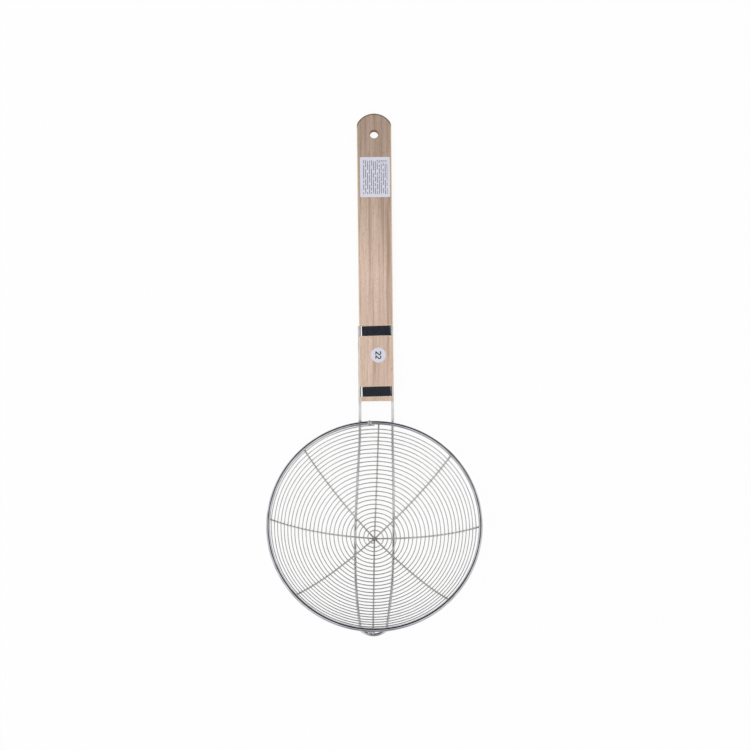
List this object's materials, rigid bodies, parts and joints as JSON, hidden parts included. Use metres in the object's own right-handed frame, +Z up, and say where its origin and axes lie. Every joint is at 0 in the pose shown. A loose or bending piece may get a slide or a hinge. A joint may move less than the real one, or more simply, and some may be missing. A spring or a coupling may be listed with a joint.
{
  "type": "spider skimmer",
  "caption": "Round wire skimmer: a bowl wound from one thin wire on crossed ribs, in a thick rim ring on a hairpin frame, with a flat wooden handle and a hanging hole.",
  "frame": {"origin": "centre of the bounding box's underside, on the surface that the skimmer lies on", "axes": "+Z up, out of the bowl's open side; +Y from the bowl to the handle's tip; +X to the right when the handle points away; the skimmer lies as on a table, on the hairpin's belly and the handle's tip"},
  "size_m": [0.22, 0.5359, 0.1112],
  "materials": {
    "wood": "fine sanded, bare wood with straight grain",
    "frame_steel": "polished drawn stainless wire",
    "rim_steel": "polished stainless wire",
    "mesh_steel": "bright thin stainless wire",
    "weld_steel": "resistance welds, slightly heat tinted",
    "band_plastic": "dark smooth sleeve",
    "label_paper": "coated paper label, no text",
    "size_paper": "small round coated paper sticker"
  },
  "bodies": {
    "root": {"handle_board": "wood", "neck_band_lower": "band_plastic", "neck_band_upper": "band_plastic", "frame_wire": "frame_steel", "rim_ring": "rim_steel", "rib_diagonal_left": "mesh_steel", "rib_crosswise": "mesh_steel", "rib_diagonal_right": "mesh_steel", "rib_lengthwise": "mesh_steel", "spiral_wire": "mesh_steel", "rim_butt_weld": "weld_steel", "nose_welds": "weld_steel", "rail_welds": "weld_steel", "rib_end_welds": "weld_steel", "product_label": "label_paper", "size_label": "size_paper"}
  },
  "joints": []
}
